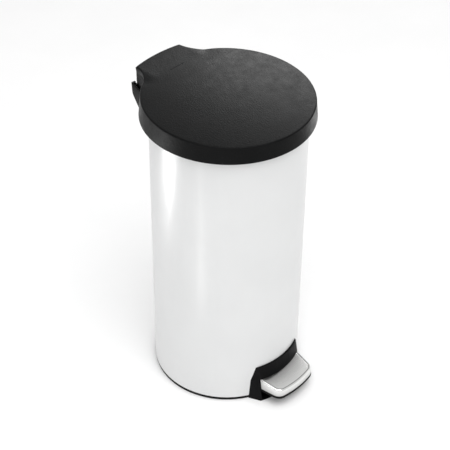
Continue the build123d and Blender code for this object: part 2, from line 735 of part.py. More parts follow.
NODES = {
    "body_shell": body_shell,
    "base_ring": base_ring,
    "base_plate": base_plate,
    "rubber_feet": rubber_feet,
    "mechanism_cover": mechanism_cover,
    "cover_screws": cover_screws,
    "pedal_housing": pedal_housing,
    "housing_screws": housing_screws,
    "pedal_cap": pedal_cap,
    "pedal_core": pedal_core,
    "pedal_lever": pedal_lever,
    "pedal_screws": pedal_screws,
    "axle_bushes": axle_bushes,
    "pedal_axle": pedal_axle,
    "axle_clips": axle_clips,
    "link_pin": link_pin,
    "push_rod": push_rod,
    "rod_foot": rod_foot,
    "rod_yoke": rod_yoke,
    "spring_collar": spring_collar,
    "return_spring": return_spring,
    "rod_guides": rod_guides,
    "damper_cylinder": damper_cylinder,
    "damper_piston": damper_piston,
    "damper_bracket": damper_bracket,
    "damper_clips": damper_clips,
    "top_collar": top_collar,
    "inner_bucket": inner_bucket,
    "hinge_bracket": hinge_bracket,
    "bracket_screws": bracket_screws,
    "hinge_pin": hinge_pin,
    "hinge_pin_clips": hinge_pin_clips,
    "lid_shell": lid_shell,
    "lid_liner": lid_liner,
    "liner_screws": liner_screws,
    "lid_bumpers": lid_bumpers,
    "lid_crank": lid_crank,
    "crank_pin": crank_pin,
    "crank_screws": crank_screws,
    "hinge_bushes": hinge_bushes,
}

os.makedirs("parts", exist_ok=True)
for name, make in NODES.items():
    save(name, make())
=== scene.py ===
import json
import math
import bmesh
import bpy
from mathutils import Matrix, Vector


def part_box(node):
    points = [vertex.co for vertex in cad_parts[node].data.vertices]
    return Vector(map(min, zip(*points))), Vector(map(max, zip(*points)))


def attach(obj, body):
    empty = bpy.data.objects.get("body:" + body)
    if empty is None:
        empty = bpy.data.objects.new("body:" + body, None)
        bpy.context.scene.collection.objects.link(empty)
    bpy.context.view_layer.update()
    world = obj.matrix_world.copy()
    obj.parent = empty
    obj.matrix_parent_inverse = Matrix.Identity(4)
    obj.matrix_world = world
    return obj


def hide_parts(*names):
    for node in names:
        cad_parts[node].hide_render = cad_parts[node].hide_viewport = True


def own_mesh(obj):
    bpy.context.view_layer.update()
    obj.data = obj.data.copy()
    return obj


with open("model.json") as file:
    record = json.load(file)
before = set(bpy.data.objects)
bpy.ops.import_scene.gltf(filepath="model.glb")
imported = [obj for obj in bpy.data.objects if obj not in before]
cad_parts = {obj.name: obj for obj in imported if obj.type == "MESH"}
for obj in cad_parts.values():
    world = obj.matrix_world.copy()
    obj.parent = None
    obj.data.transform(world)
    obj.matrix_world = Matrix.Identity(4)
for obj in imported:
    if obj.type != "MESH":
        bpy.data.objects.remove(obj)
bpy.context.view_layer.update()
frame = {"nodes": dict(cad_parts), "record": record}

NODES = frame["nodes"]
MM = 0.001

# The camera, in the frame's metres and degrees: where it stands and how it is held.
CAMERA_BEARING = 47.3
CAMERA_DISTANCE = 1.9706
CAMERA_HEIGHT = 1.9049
CAMERA_PITCH = 38.67
CAMERA_SWING = -0.15
CAMERA_ROLL = 0.63
CAMERA_LENS = 105.75

# Soft lights and panels: name, place, target, size in metres, watts.
SOFT_LIGHTS = (
    ("overhead", (-0.5, -0.9, 2.8), (0, 0, 0.2), (2.0, 2.0), 42),
    ("left_panel", (-1.9, -0.9, 1.0), (0, 0, 0.35), (0.5, 1.9), 4),
    ("right_panel", (1.9, -1.2, 1.1), (0, 0, 0.35), (0.8, 1.6), 1.5),
)
# These panels only show as reflections. Three lie on the floor and face up.
GLOSS_LIGHTS = (
    ("back_sheen", (2.1, 1.25, 1.75), (0, 0, 0.6), (1.3, 1.1), 33),
    ("body_stripe", (-0.68, -0.08, 0.004), (-0.68, -0.08, 1), (0.56, 0.09), 0.65),
    ("back_left_glow", (-0.66, 0.62, 0.004), (-0.66, 0.62, 1), (0.4, 0.36), 6),
    ("right_glow", (1.08, -0.14, 0.004), (1.08, -0.14, 1), (0.28, 0.5), 1.6),
)
WORLD_LIGHT = 0.77
FLOOR_HALF = 6.0


# --- camera, light and floor ---------------------------------------------------------------------

def add_camera():
    bearing = math.radians(CAMERA_BEARING)
    swing = math.radians(CAMERA_SWING)
    pitch = math.radians(CAMERA_PITCH)
    roll = math.radians(CAMERA_ROLL)
    heading = bearing + swing
    ahead = Vector((math.sin(heading), math.cos(heading), 0))
    side = Vector((math.cos(heading), -math.sin(heading), 0))
    up = Vector((0, 0, 1))
    look = ahead * math.cos(pitch) - up * math.sin(pitch)
    head = ahead * math.sin(pitch) + up * math.cos(pitch)
    right = side * math.cos(roll) + head * math.sin(roll)
    head = head * math.cos(roll) - side * math.sin(roll)
    place = Vector((-CAMERA_DISTANCE * math.sin(bearing), -CAMERA_DISTANCE * math.cos(bearing),
                    CAMERA_HEIGHT))
    data = bpy.data.cameras.new("camera")
    data.lens = CAMERA_LENS
    data.sensor_width = 36.0
    data.clip_end = 20.0
    camera = bpy.data.objects.new("camera", data)
    rotation = Matrix((right, head, -look)).transposed().to_4x4()
    camera.matrix_world = Matrix.Translation(place) @ rotation
    bpy.context.scene.collection.objects.link(camera)
    bpy.context.scene.camera = camera


def add_area_light(name, place, target, size, power):
    data = bpy.data.lights.new(name, "AREA")
    data.shape = "RECTANGLE"
    data.size, data.size_y = size
    data.energy = power
    light = bpy.data.objects.new(name, data)
    light.location = place
    aim = Vector(target) - Vector(place)
    light.rotation_euler = aim.to_track_quat("-Z", "Y").to_euler()
    bpy.context.scene.collection.objects.link(light)
    return light


def add_studio():
    """A white floor, an overhead softbox, two side panels and the panels seen in the gloss."""
    bm = bmesh.new()
    corners = ((-1, -1), (1, -1), (1, 1), (-1, 1))
    bm.faces.new([bm.verts.new((x * FLOOR_HALF, y * FLOOR_HALF, 0)) for x, y in corners])
    floor = add_mesh("studio_floor", bm, 1.0)
    floor.data.materials.append(floor_material())
    for light in SOFT_LIGHTS:
        add_area_light(*light)
    for light in GLOSS_LIGHTS:
        gloss = add_area_light(*light)
        gloss.visible_diffuse = False
        gloss.visible_camera = False
    world = bpy.data.worlds.new("studio")
    world.use_nodes = True
    background = world.node_tree.nodes["Background"]
    background.inputs["Color"].default_value = (1.0, 1.0, 1.0, 1)
    background.inputs["Strength"].default_value = WORLD_LIGHT
    bpy.context.scene.world = world
    bpy.context.scene.view_settings.view_transform = "Standard"


# --- mesh helpers ---------------------------------------------------------------------------------
# Pieces are drawn in millimetres and scaled to metres as they become objects. Copies of CAD meshes
# are in metres from the start.

WELD = 0.00001
FLAT = math.radians(0.3)
MOST_CORNERS = 24


def add_mesh(name, bm, scale=MM):
    """Turns a bmesh into a linked object."""
    bmesh.ops.recalc_face_normals(bm, faces=bm.faces)
    bmesh.ops.scale(bm, vec=(scale, scale, scale), verts=bm.verts)
    data = bpy.data.meshes.new(name)
    bm.to_mesh(data)
    bm.free()
    piece = bpy.data.objects.new(name, data)
    bpy.context.scene.collection.objects.link(piece)
    return piece


def finish_piece(piece, body, slot, nodes, bevel=0.0, sharp=35.0):
    """Bevels, shades and attaches to its body a piece that stands for CAD nodes, hides those nodes and
    gives it its material.
    """
    bpy.context.view_layer.objects.active = piece
    if bevel:
        tool = piece.modifiers.new("rounded_edges", "BEVEL")
        tool.width = bevel * MM
        tool.segments = 3
        tool.limit_method = "ANGLE"
        tool.angle_limit = math.radians(sharp)
        apply_modifiers(piece)
    for face in piece.data.polygons:
        face.use_smooth = True
    piece.data.set_sharp_from_angle(angle=math.radians(sharp + 6))
    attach(piece, body)
    if nodes:
        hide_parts(*nodes)
    dress(piece, materials[slot])


def apply_modifiers(piece):
    """Replaces the mesh by its evaluated copy, so that no modifier is left."""
    depsgraph = bpy.context.evaluated_depsgraph_get()
    mesh = bpy.data.meshes.new_from_object(piece.evaluated_get(depsgraph))
    piece.modifiers.clear()
    piece.data = mesh


def joined_copy(node):
    """A copy of a CAD node's mesh with its flat faces joined, ready for rounded edges.

    Faces with many corners go back to triangles: a thin flat ring that is one face gets filled
    across its hole once its edges are rounded.
    """
    bm = bmesh.new()
    bm.from_mesh(NODES[node].data)
    bmesh.ops.remove_doubles(bm, verts=bm.verts, dist=WELD)
    bmesh.ops.dissolve_limit(bm, angle_limit=FLAT, verts=bm.verts, edges=bm.edges)
    rings = [face for face in bm.faces if len(face.verts) > MOST_CORNERS]
    bmesh.ops.triangulate(bm, faces=rings, quad_method="BEAUTY", ngon_method="BEAUTY")
    return add_mesh(node + "_shape", bm, 1.0)


def ring_of(bm, points):
    return [bm.verts.new(point) for point in points]


def bridge(bm, lower, upper, closed=True):
    """Quads between two rings with the same number of points."""
    count = len(lower)
    for k in range(count if closed else count - 1):
        after = (k + 1) % count
        bm.faces.new((lower[k], lower[after], upper[after], upper[k]))


def fan(bm, ring, point):
    """Triangles from a closed ring to one point."""
    centre = bm.verts.new(point)
    for k, vert in enumerate(ring):
        bm.faces.new((vert, ring[(k + 1) % len(ring)], centre))


def smoothstep(value):
    value = min(1.0, max(0.0, value))
    return value * value * (3 - 2 * value)


def blend_values(share, first, second):
    return first + (second - first) * share


# --- the lid ----------------------------------------------------------------------------------------

LID_Y, RIM_Z, SKIRT_Z = 1.9, 621.3, 585.0
RIM_R, SKIRT_SLOPE = 157.2, 0.085
TILT = math.tan(math.radians(1.75))
CROWN = 10.2
CROWN_R = (RIM_R ** 2 + CROWN ** 2) / (2 * CROWN)
DECK_Z = 628.5
BLOCK_BACK, BLOCK_BACK_LOW = 190.8 - LID_Y, 598.0
BLOCK_HEEL = 186.0
BLOCK_BOW = 6.0
BLOCK_HALF, BLOCK_HALF_TOP = 54.8, 55.6
CORNER_POWER = 30.0
SHOULDER_DROP, SHOULDER_DEPTH = 6.0, 8.5
BLOCK_ZONE = 60.0
DECK_FRONT, DECK_RUN = 112.0, 34.0
DECK_SIDE, DECK_FADE = 70.0, 25.0
DECK_SAG, SAG_START, SAG_RUN = 4.2, 54.0, 34.0
HINGE_Y, HINGE_Z = 172.0, 600.0
FLARE_LOW, FLARE_TOP = 13.0, 55.0
FLARE_Z, FLARE_RISE = 598.0, 27.0
WIDEN_Z, WIDEN_RISE = 610.0, 17.0
LID_EDGE = 2.4
LID_WALL = 2.6
WALL_STEPS, EDGE_STEPS = 12, 6
LUG_IN, LUG_OUT, LUG_R, BUSH_R = 31, 37, 8.5, 4.5
BAR_Y = 128


def lid_reach(angle, rim, half, flare, back):
    """How far the lid's outline is from its middle at an angle from +X: a circle and a block
    with a bowed back and soft corners, joined by hollow curves of radius flare."""
    if math.sin(angle) <= 0:
        return rim
    turn = min(angle, math.pi - angle)
    across, along = math.cos(turn), math.sin(turn)
    flare_x = half + flare
    flare_y = math.sqrt((rim + flare) ** 2 - flare_x ** 2)
    if turn <= math.atan2(flare_y, flare_x):
        return rim
    if turn < math.atan2(flare_y, half):
        nearest = flare_x * across + flare_y * along
        return nearest - math.sqrt(max(0.0, nearest ** 2 - (rim + flare) ** 2 + flare ** 2))
    bow = max(1e-6, BLOCK_BOW * (across / half) ** 2)
    to_back = (math.sqrt(along ** 2 + 4 * bow * back) - along) / (2 * bow)
    to_side = half / max(1e-6, across)
    return (to_side ** -CORNER_POWER + to_back ** -CORNER_POWER) ** (-1 / CORNER_POWER)


def lid_height(x, y):
    """The lid's top surface: a shallow crown that runs out into the flat deck of the block,
    which falls away in a rounded shoulder along its back."""
    crown = math.sqrt(CROWN_R ** 2 - x ** 2 - (y - LID_Y) ** 2) - CROWN_R + CROWN
    dome = RIM_Z + (y - LID_Y) * TILT + crown
    to_back = BLOCK_BACK + LID_Y - BLOCK_BOW * (x / BLOCK_HALF_TOP) ** 2 - y
    shoulder = max(0.0, 1 - max(0.0, to_back) / SHOULDER_DEPTH) if abs(x) < BLOCK_ZONE else 0.0
    sag = DECK_SAG * smoothstep((abs(x) - SAG_START) / SAG_RUN)
    deck = DECK_Z - sag - SHOULDER_DROP * shoulder ** 2.2
    beside = smoothstep((abs(x) - DECK_SIDE) / DECK_FADE)
    share = smoothstep((y - DECK_FRONT) / DECK_RUN) * (1 - beside)
    return blend_values(share, dome, deck)


def lid_angles():
    """Angles round the lid, closer together where the block's walls run towards the middle."""
    half = [-90 + 1.5 * k for k in range(92)] + [48 + 0.25 * k for k in range(120)]
    half += [78 + 0.8 * k for k in range(15)]
    whole = half + [180 - a for a in reversed(half) if a > -90]
    return [math.radians(a) for a in whole]


def lid_wall_point(angle, inset, drop_share):
    """A point on the lid's wall: share 0 is its top edge and share 1 its bottom edge."""
    edge = lid_reach(angle, RIM_R, BLOCK_HALF_TOP, FLARE_TOP, BLOCK_BACK)
    top = lid_height(edge * math.cos(angle), LID_Y + edge * math.sin(angle))
    guess = SKIRT_Z + (top - SKIRT_Z) * (1 - drop_share)
    rim = RIM_R + SKIRT_SLOPE * (top - guess) - inset
    opened = smoothstep((guess - FLARE_Z) / FLARE_RISE) ** 1.5
    flare = FLARE_LOW + (FLARE_TOP - FLARE_LOW) * opened + inset
    widened = smoothstep((guess - WIDEN_Z) / WIDEN_RISE)
    half = BLOCK_HALF + (BLOCK_HALF_TOP - BLOCK_HALF) * widened - inset
    reach = lid_reach(angle, rim, half, flare, BLOCK_BACK - inset)
    x, y = reach * math.cos(angle), LID_Y + reach * math.sin(angle)
    rise = min(1.0, max(0.0, (y - HINGE_Y) / (BLOCK_HEEL - HINGE_Y)))
    low = blend_values(rise, SKIRT_Z, BLOCK_BACK_LOW) if abs(x) < BLOCK_ZONE else SKIRT_Z
    return x, y, blend_values(drop_share, top - inset, low)


def lid_top_point(angle, inset):
    """A place on the lid's top outline, moved inwards by inset, as x and y."""
    reach = lid_reach(angle, RIM_R - inset, BLOCK_HALF_TOP - inset, FLARE_TOP + inset,
                      BLOCK_BACK - inset)
    return reach * math.cos(angle), LID_Y + reach * math.sin(angle)


def lid_surface(bm, angles, inset):
    """One skin of the lid from its bottom edge to its middle, moved inwards by inset: the wall,
    the rounded edge, a border that follows the edge and then rings that shrink to the middle."""
    rings = []
    for step in range(WALL_STEPS):
        share = 1 - step / WALL_STEPS
        ring = []
        for angle in angles:
            x, y, z = lid_wall_point(angle, inset, share)
            top = lid_wall_point(angle, inset, 0.0)[2]
            low = lid_wall_point(angle, inset, 1.0)[2]
            usable = (top - LID_EDGE - low) / (top - low)
            ring.append((x, y, low + (z - low) * usable))
        rings.append(ring)
    for step in range(EDGE_STEPS + 1):
        lean = math.pi / 2 * step / EDGE_STEPS
        ring = []
        for angle in angles:
            x, y = lid_top_point(angle, inset + LID_EDGE * (1 - math.cos(lean)))
            ring.append((x, y, lid_height(x, y) - inset - LID_EDGE * (1 - math.sin(lean))))
        rings.append(ring)
    for depth in (0.8, 1.8, 3.0, 4.4, 6.0, 8.5, 13, 19, 27):
        ring = []
        for angle in angles:
            edge = math.dist(lid_top_point(angle, inset + LID_EDGE), (0, LID_Y)) - depth
            x, y = edge * math.cos(angle), LID_Y + edge * math.sin(angle)
            ring.append((x, y, lid_height(x, y) - inset))
        rings.append(ring)
    outer = rings[-1]
    for share in (0.93, 0.85, 0.76, 0.66, 0.55, 0.43, 0.31, 0.19, 0.08):
        ring = []
        for x, y, z in outer:
            px, py = x * share, LID_Y + (y - LID_Y) * share
            ring.append((px, py, lid_height(px, py) - inset))
        rings.append(ring)
    made = [ring_of(bm, ring) for ring in rings]
    for lower, upper in zip(made, made[1:]):
        bridge(bm, lower, upper)
    fan(bm, made[-1], (0, LID_Y, lid_height(0, LID_Y) - inset))
    return made[0]


def plate_with_hole(bm, outline, hole, x0, x1):
    """An upright plate across X whose outline and hole have the same number of points."""
    rings = []
    for x, points in ((x0, hole), (x0, outline), (x1, outline), (x1, hole)):
        rings.append(ring_of(bm, [(x, y, z) for y, z in points]))
    for lower, upper in zip(rings, rings[1:] + rings[:1]):
        bridge(bm, lower, upper)


def lug_outline(count):
    """A lobe round the hinge pin under a straight web, as (y, z) points."""
    points = []
    for k in range(count):
        turn = 2 * math.pi * k / count
        y, z = HINGE_Y + LUG_R * math.cos(turn), HINGE_Z + LUG_R * math.sin(turn)
        if math.sin(turn) > 0:
            z = HINGE_Z + (DECK_Z - 1.6 - HINGE_Z) * min(1.0, 1.6 * math.sin(turn))
            y = HINGE_Y + LUG_R * math.copysign(min(1.0, 1.5 * abs(math.cos(turn))), math.cos(turn))
        points.append((y, z))
    return points


def circle(count, radius, y, z):
    """A circle as (y, z) points."""
    turns = [2 * math.pi * k / count for k in range(count)]
    return [(y + radius * math.cos(t), z + radius * math.sin(t)) for t in turns]


def make_lid():
    """The moulded lid: an outer and an inner skin, and two lugs round the hinge pin."""
    bm = bmesh.new()
    angles = lid_angles()
    outer = lid_surface(bm, angles, 0.0)
    inner = lid_surface(bm, angles, LID_WALL)
    bridge(bm, outer, inner)
    for side in (-1, 1):
        plate_with_hole(bm, lug_outline(48), circle(48, BUSH_R, HINGE_Y, HINGE_Z),
                        side * LUG_IN, side * LUG_OUT)
    finish_piece(add_mesh("lid_moulding", bm), "lid", "lid_plastic", ["lid_shell"], sharp=40)


def make_lid_mark():
    """A plain raised bar on the deck."""
    bm = bmesh.new()
    rings = []
    for rise, half_x, half_y in ((-0.3, 19, 1.0), (0.2, 19, 1.0), (0.45, 18.6, 0.6), (0.45, 17, 0.2)):
        ring = []
        for k in range(40):
            turn = 2 * math.pi * k / 40
            x = (half_x - half_y) * math.copysign(1, math.cos(turn)) * min(1, 3 * abs(math.cos(turn)))
            x += half_y * math.cos(turn)
            y = BAR_Y + half_y * math.sin(turn)
            ring.append((x, y, lid_height(x, y) + rise))
        rings.append(ring_of(bm, ring))
    for lower, upper in zip(rings, rings[1:]):
        bridge(bm, lower, upper)
    bm.faces.new(rings[-1])
    bm.faces.new(list(reversed(rings[0])))
    finish_piece(add_mesh("lid_bar", bm), "lid", "lid_plastic", [])


# --- the pedal -----------------------------------------------------------------------------------------

PEDAL_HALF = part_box("pedal_cap")[1][0] / MM
PEDAL_NOSE = PEDAL_HALF - 5.2
PEDAL_BACK, PEDAL_SHOULDER = -141.0, -149.0
PEDAL_R = 195.5
CREASE_R, CREASE_Z = 190.3, 44.9
PEDAL_SLOPE = math.tan(math.radians(9.5))
CAP_LOW, PAD_LOW = 29.4, 23.0
PEDAL_CORNER, LEAST_CORNER = 13.0, 1.5
BACK_STEPS, SIDE_STEPS, CORNER_STEPS, NOSE_STEPS = 3, 12, 14, 14
TREAD_COLUMNS = 16
SHEET = 1.0


def pedal_half_outline(inset, back):
    """The left half of the pedal seen from above, from its back corner to the middle of the nose."""
    half, nose, reach = PEDAL_HALF - inset, PEDAL_NOSE - 1.1 * inset, PEDAL_R - inset
    tip = Vector((-nose, -math.sqrt(reach ** 2 - nose ** 2)))
    shoulder = Vector((-half, PEDAL_SHOULDER))
    corner = max(LEAST_CORNER, PEDAL_CORNER - 0.7 * inset)
    start = tip - (tip - shoulder).normalized() * corner
    end_turn = math.asin(nose / reach) - corner / reach
    end = Vector((-reach * math.sin(end_turn), -reach * math.cos(end_turn)))
    points = []
    for k in range(BACK_STEPS):
        points.append(Vector((-half, blend_values(k / BACK_STEPS, back, PEDAL_SHOULDER))))
    points += [shoulder.lerp(start, k / SIDE_STEPS) for k in range(SIDE_STEPS)]
    for k in range(CORNER_STEPS + 1):
        share = k / CORNER_STEPS
        points.append(start.lerp(tip, share).lerp(tip.lerp(end, share), share))
    for k in range(1, NOSE_STEPS + 1):
        turn = end_turn * (1 - k / NOSE_STEPS)
        points.append(Vector((-reach * math.sin(turn), -reach * math.cos(turn))))
    return points


def tread_height(x, y):
    """The tread falls in a straight slope towards its rounded front."""
    return CREASE_Z + (CREASE_R - math.hypot(x, y)) * PEDAL_SLOPE


def pedal_ring(inset, height, back=PEDAL_BACK):
    """A whole open outline, left to right; height is a number or a function of the place."""
    left = pedal_half_outline(inset, back)
    right = [Vector((-p.x, p.y)) for p in reversed(left[:-1])]
    points = []
    for p in left + right:
        z = height(p.x, p.y) if callable(height) else height
        points.append((p.x, p.y, z))
    return points


def pedal_skin(bm, shrink):
    """One skin of the folded sheet, moved inwards by shrink: side walls, a bevel, a thin groove
    and the sloping tread."""
    def tread(drop):
        return lambda x, y: tread_height(x, y) - drop - shrink

    def between(share):
        return lambda x, y: blend_values(share, CAP_LOW + 2, tread_height(x, y) - shrink - 1.6)

    levels = [(0.0, CAP_LOW), (0.0, CAP_LOW + 1), (0.1, between(0.15)), (0.4, between(0.4)),
              (0.7, between(0.65)), (1.1, between(0.9)), (1.6, tread(1.15)), (2.4, tread(0.75)),
              (3.2, tread(0.5)), (3.9, tread(0.36)), (4.1, tread(1.1)), (4.8, tread(1.1)),
              (5.0, tread(0.15)), (6.2, tread(0.03)), (8.4, tread(0.0))]
    rings = [ring_of(bm, pedal_ring(inset + shrink, height)) for inset, height in levels]
    for lower, upper in zip(rings, rings[1:]):
        bridge(bm, lower, upper, closed=False)
    inner = rings[-1]
    half = len(inner) // 2
    rows = []
    for k in range(half):
        left, right = inner[k], inner[-1 - k]
        row = [left]
        for c in range(1, TREAD_COLUMNS):
            place = left.co.lerp(right.co, c / TREAD_COLUMNS)
            place.z = tread_height(place.x, place.y) - shrink
            row.append(bm.verts.new(place))
        rows.append(row + [right])
    for lower, upper in zip(rows, rows[1:]):
        bridge(bm, lower, upper, closed=False)
    last = rows[-1]
    for c in range(TREAD_COLUMNS):
        bm.faces.new((last[c], last[c + 1], inner[half]))
    edge = [ring[0] for ring in rings] + rows[0][1:-1] + [ring[-1] for ring in reversed(rings)]
    return rings[0], edge


def make_pedal_cap():
    """The steel sheet, closed along its lower edge and its back edge."""
    bm = bmesh.new()
    outer_low, outer_back = pedal_skin(bm, 0.0)
    inner_low, inner_back = pedal_skin(bm, SHEET)
    bridge(bm, outer_low, inner_low, closed=False)
    bridge(bm, outer_back, inner_back, closed=False)
    finish_piece(add_mesh("pedal_tread", bm), "pedal", "pedal_steel", ["pedal_cap"], sharp=50)


def make_pedal_pad():
    """The black core under the steel, with a lip that shows below it."""
    bm = bmesh.new()
    lip = PEDAL_BACK + 1.0
    levels = [(14.0, PAD_LOW + 1.5), (3.0, PAD_LOW + 0.4), (0.6, PAD_LOW), (-0.2, PAD_LOW + 0.4),
              (-0.45, PAD_LOW + 1.0), (-0.45, CAP_LOW - 0.7), (-0.2, CAP_LOW - 0.2),
              (1.4, CAP_LOW - 0.1), (1.45, CAP_LOW + 3),
              (9.4, lambda x, y: tread_height(x, y) - 1.6)]
    rings = [ring_of(bm, pedal_ring(inset, z, lip)) for inset, z in levels]
    for lower, upper in zip(rings, rings[1:]):
        bridge(bm, lower, upper)
    for ring in (rings[0], list(reversed(rings[-1]))):
        half = len(ring) // 2
        for k in range(half - 1):
            bm.faces.new((ring[k], ring[k + 1], ring[-2 - k], ring[-1 - k]))
        bm.faces.new((ring[half - 1], ring[half], ring[half + 1]))
    finish_piece(add_mesh("pedal_pad", bm), "pedal", "pad_plastic", ["pedal_core"], sharp=50)


# --- the return spring ------------------------------------------------------------------------------

def make_spring():
    """A copy of the return spring's coil, with a mesh of its own, riding on the rod."""
    bm = bmesh.new()
    bm.from_mesh(NODES["return_spring"].data)
    coil = add_mesh("spring_coil", bm, 1.0)
    finish_piece(coil, "rod", SLOTS["return_spring"], ["return_spring"])
    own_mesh(coil)


# --- material helpers -------------------------------------------------------------------------------

class Shader:
    """A Principled material with short calls for its nodes, all in object space."""

    def __init__(self, name, **values):
        self.material = bpy.data.materials.new(name)
        self.material.use_nodes = True
        self.tree = self.material.node_tree
        self.surface = self.tree.nodes["Principled BSDF"]
        self.place = self.tree.nodes.new("ShaderNodeTexCoord").outputs["Object"]
        for socket, value in values.items():
            self.surface.inputs[socket.replace("_", " ")].default_value = value

    def add(self, kind, inputs=None, **settings):
        node = self.tree.nodes.new(kind)
        for key, value in settings.items():
            setattr(node, key, value)
        for socket, value in (inputs or {}).items():
            if isinstance(value, bpy.types.NodeSocket):
                self.tree.links.new(value, node.inputs[socket])
            else:
                node.inputs[socket].default_value = value
        return node

    def stretched(self, scale):
        """The object position scaled per axis, for grain that runs one way."""
        return self.add("ShaderNodeMapping", {"Vector": self.place, "Scale": scale}).outputs[0]

    def noise(self, scale, detail=4.0, roughness=0.55, vector=None):
        inputs = {"Vector": vector or self.place, "Scale": scale, "Detail": detail,
                  "Roughness": roughness}
        return self.add("ShaderNodeTexNoise", inputs).outputs["Fac"]

    def cells(self, scale, output="Distance", vector=None, feature="F1"):
        inputs = {"Vector": vector or self.place, "Scale": scale}
        return self.add("ShaderNodeTexVoronoi", inputs, feature=feature).outputs[output]

    def ramp(self, value, stops):
        node = self.add("ShaderNodeValToRGB", {"Fac": value})
        elements = node.color_ramp.elements
        while len(elements) < len(stops):
            elements.new(0.5)
        for element, (place, colour) in zip(elements, stops):
            element.position = place
            element.color = (*colour, 1)
        return node.outputs["Color"]

    def remap(self, value, low, high, to_low, to_high):
        inputs = {"Value": value, "From Min": low, "From Max": high, "To Min": to_low,
                  "To Max": to_high}
        return self.add("ShaderNodeMapRange", inputs).outputs[0]

    def maths(self, operation, first, second=0.0):
        node = self.add("ShaderNodeMath", operation=operation)
        for socket, value in zip(node.inputs, (first, second)):
            if isinstance(value, bpy.types.NodeSocket):
                self.tree.links.new(value, socket)
            else:
                socket.default_value = value
        return node.outputs[0]

    def mix(self, share, first, second):
        """Two colours, each an output or three numbers; inputs 6 and 7 are the colour sockets."""
        node = self.add("ShaderNodeMix", {"Factor": share}, data_type="RGBA")
        for index, value in ((6, first), (7, second)):
            if isinstance(value, bpy.types.NodeSocket):
                self.tree.links.new(value, node.inputs[index])
            else:
                node.inputs[index].default_value = (*value, 1)
        return node.outputs[2]

    def edge_wear(self):
        """About 1 on sharp outer edges and 0 elsewhere."""
        pointiness = self.add("ShaderNodeNewGeometry").outputs["Pointiness"]
        return self.remap(pointiness, 0.52, 0.60, 0.0, 1.0)

    def bump(self, height, strength, distance):
        inputs = {"Height": height, "Strength": strength, "Distance": distance}
        return self.add("ShaderNodeBump", inputs).outputs[0]

    def wire(self, **links):
        for socket, output in links.items():
            self.tree.links.new(output, self.surface.inputs[socket.replace("_", " ")])
        return self.material


def floor_material():
    s = Shader("studio_paper", Roughness=0.9)
    tone = s.ramp(s.noise(6.0), [(0.3, (0.955, 0.955, 0.955)), (0.7, (0.975, 0.975, 0.975))])
    return s.wire(Base_Color=tone)


def painted_steel():
    """Near-white powder coat: a fine orange peel, faint clouding and a little dust near the floor."""
    s = Shader("white_paint", Specular_IOR_Level=0.32, Coat_Weight=0.16, Coat_Roughness=0.16)
    cloud = s.noise(9.0, 3.0)
    paint = s.ramp(cloud, [(0.30, (0.662, 0.666, 0.666)), (0.72, (0.686, 0.690, 0.690))])
    height = s.add("ShaderNodeSeparateXYZ", {"Vector": s.place}).outputs["Z"]
    low_down = s.remap(height, 0.10, 0.008, 0.0, 1.0)
    specks = s.remap(s.noise(420.0, 5.0, 0.7), 0.56, 0.72, 0.0, 1.0)
    dust = s.maths("MULTIPLY", s.maths("MULTIPLY", low_down, specks), 0.35)
    colour = s.mix(dust, paint, (0.50, 0.48, 0.45))
    peel = s.noise(900.0, 2.0)
    rough = s.remap(s.noise(38.0, 5.0), 0.3, 0.7, 0.30, 0.40)
    return s.wire(Base_Color=colour, Roughness=rough, Normal=s.bump(peel, 0.10, 0.0002))


def grained_plastic(name, dark, light, rough=(0.42, 0.56), grain=1100.0, depth=0.28, shine=0.18):
    """Moulded plastic with a fine leathery grain, polished a little where hands touch it."""
    s = Shader(name, Specular_IOR_Level=shine)
    pits = s.cells(grain)
    fine = s.noise(grain * 0.8, 3.0)
    height = s.maths("ADD", pits, s.maths("MULTIPLY", fine, 0.6))
    haze = s.noise(14.0, 5.0)
    colour = s.ramp(haze, [(0.32, dark), (0.70, light)])
    worn = s.edge_wear()
    colour = s.mix(s.maths("MULTIPLY", worn, 0.35), colour, tuple(min(1, 2.2 * c) for c in light))
    spread = s.maths("ADD", s.noise(60.0, 6.0), s.maths("MULTIPLY", fine, 0.3))
    roughness = s.remap(spread, 0.45, 0.95, rough[0], rough[1])
    return s.wire(Base_Color=colour, Roughness=roughness, Normal=s.bump(height, depth, 0.0002))


def brushed_metal(name, dark, light, direction, rough, painted_nook_shade=False):
    """Steel with a directional brush, faint cross scratches and smears.

    With the flag set the colour darkens where other surfaces are near: painted shade, which also
    stands in for a painted reflection of the dark housing in the pedal.
    """
    s = Shader(name, Metallic=1.0)
    lines = s.noise(1.0, 6.0, 0.6, s.stretched(direction))
    smears = s.noise(30.0, 5.0)
    slanted = s.add("ShaderNodeMapping", {"Vector": s.place, "Rotation": (0.3, 0.8, 0.5),
                                          "Scale": (0.35, 3.0, 1.0)}).outputs[0]
    scratch = s.cells(160.0, feature="DISTANCE_TO_EDGE", vector=slanted)
    fine = s.remap(scratch, 0.0, 0.012, 1.0, 0.0)
    colour = s.ramp(lines, [(0.30, dark), (0.72, light)])
    # Painted shade: ambient occlusion darkens the colour near other surfaces, by the housing and in the
    # groove, also standing in for the housing's reflection.
    if painted_nook_shade:
        openness = s.add("ShaderNodeAmbientOcclusion", {"Distance": 0.05}).outputs["AO"]
        painted_shade = s.maths("SUBTRACT", 1.0, s.maths("POWER", openness, 3.0))
        colour = s.mix(painted_shade, colour, tuple(0.06 * c for c in dark))
    base = s.remap(smears, 0.3, 0.75, rough[0], rough[1])
    roughness = s.maths("ADD", base, s.maths("MULTIPLY", fine, 0.10))
    height = s.maths("SUBTRACT", lines, s.maths("MULTIPLY", fine, 0.25))
    return s.wire(Base_Color=colour, Roughness=roughness, Normal=s.bump(height, 0.10, 0.0001))


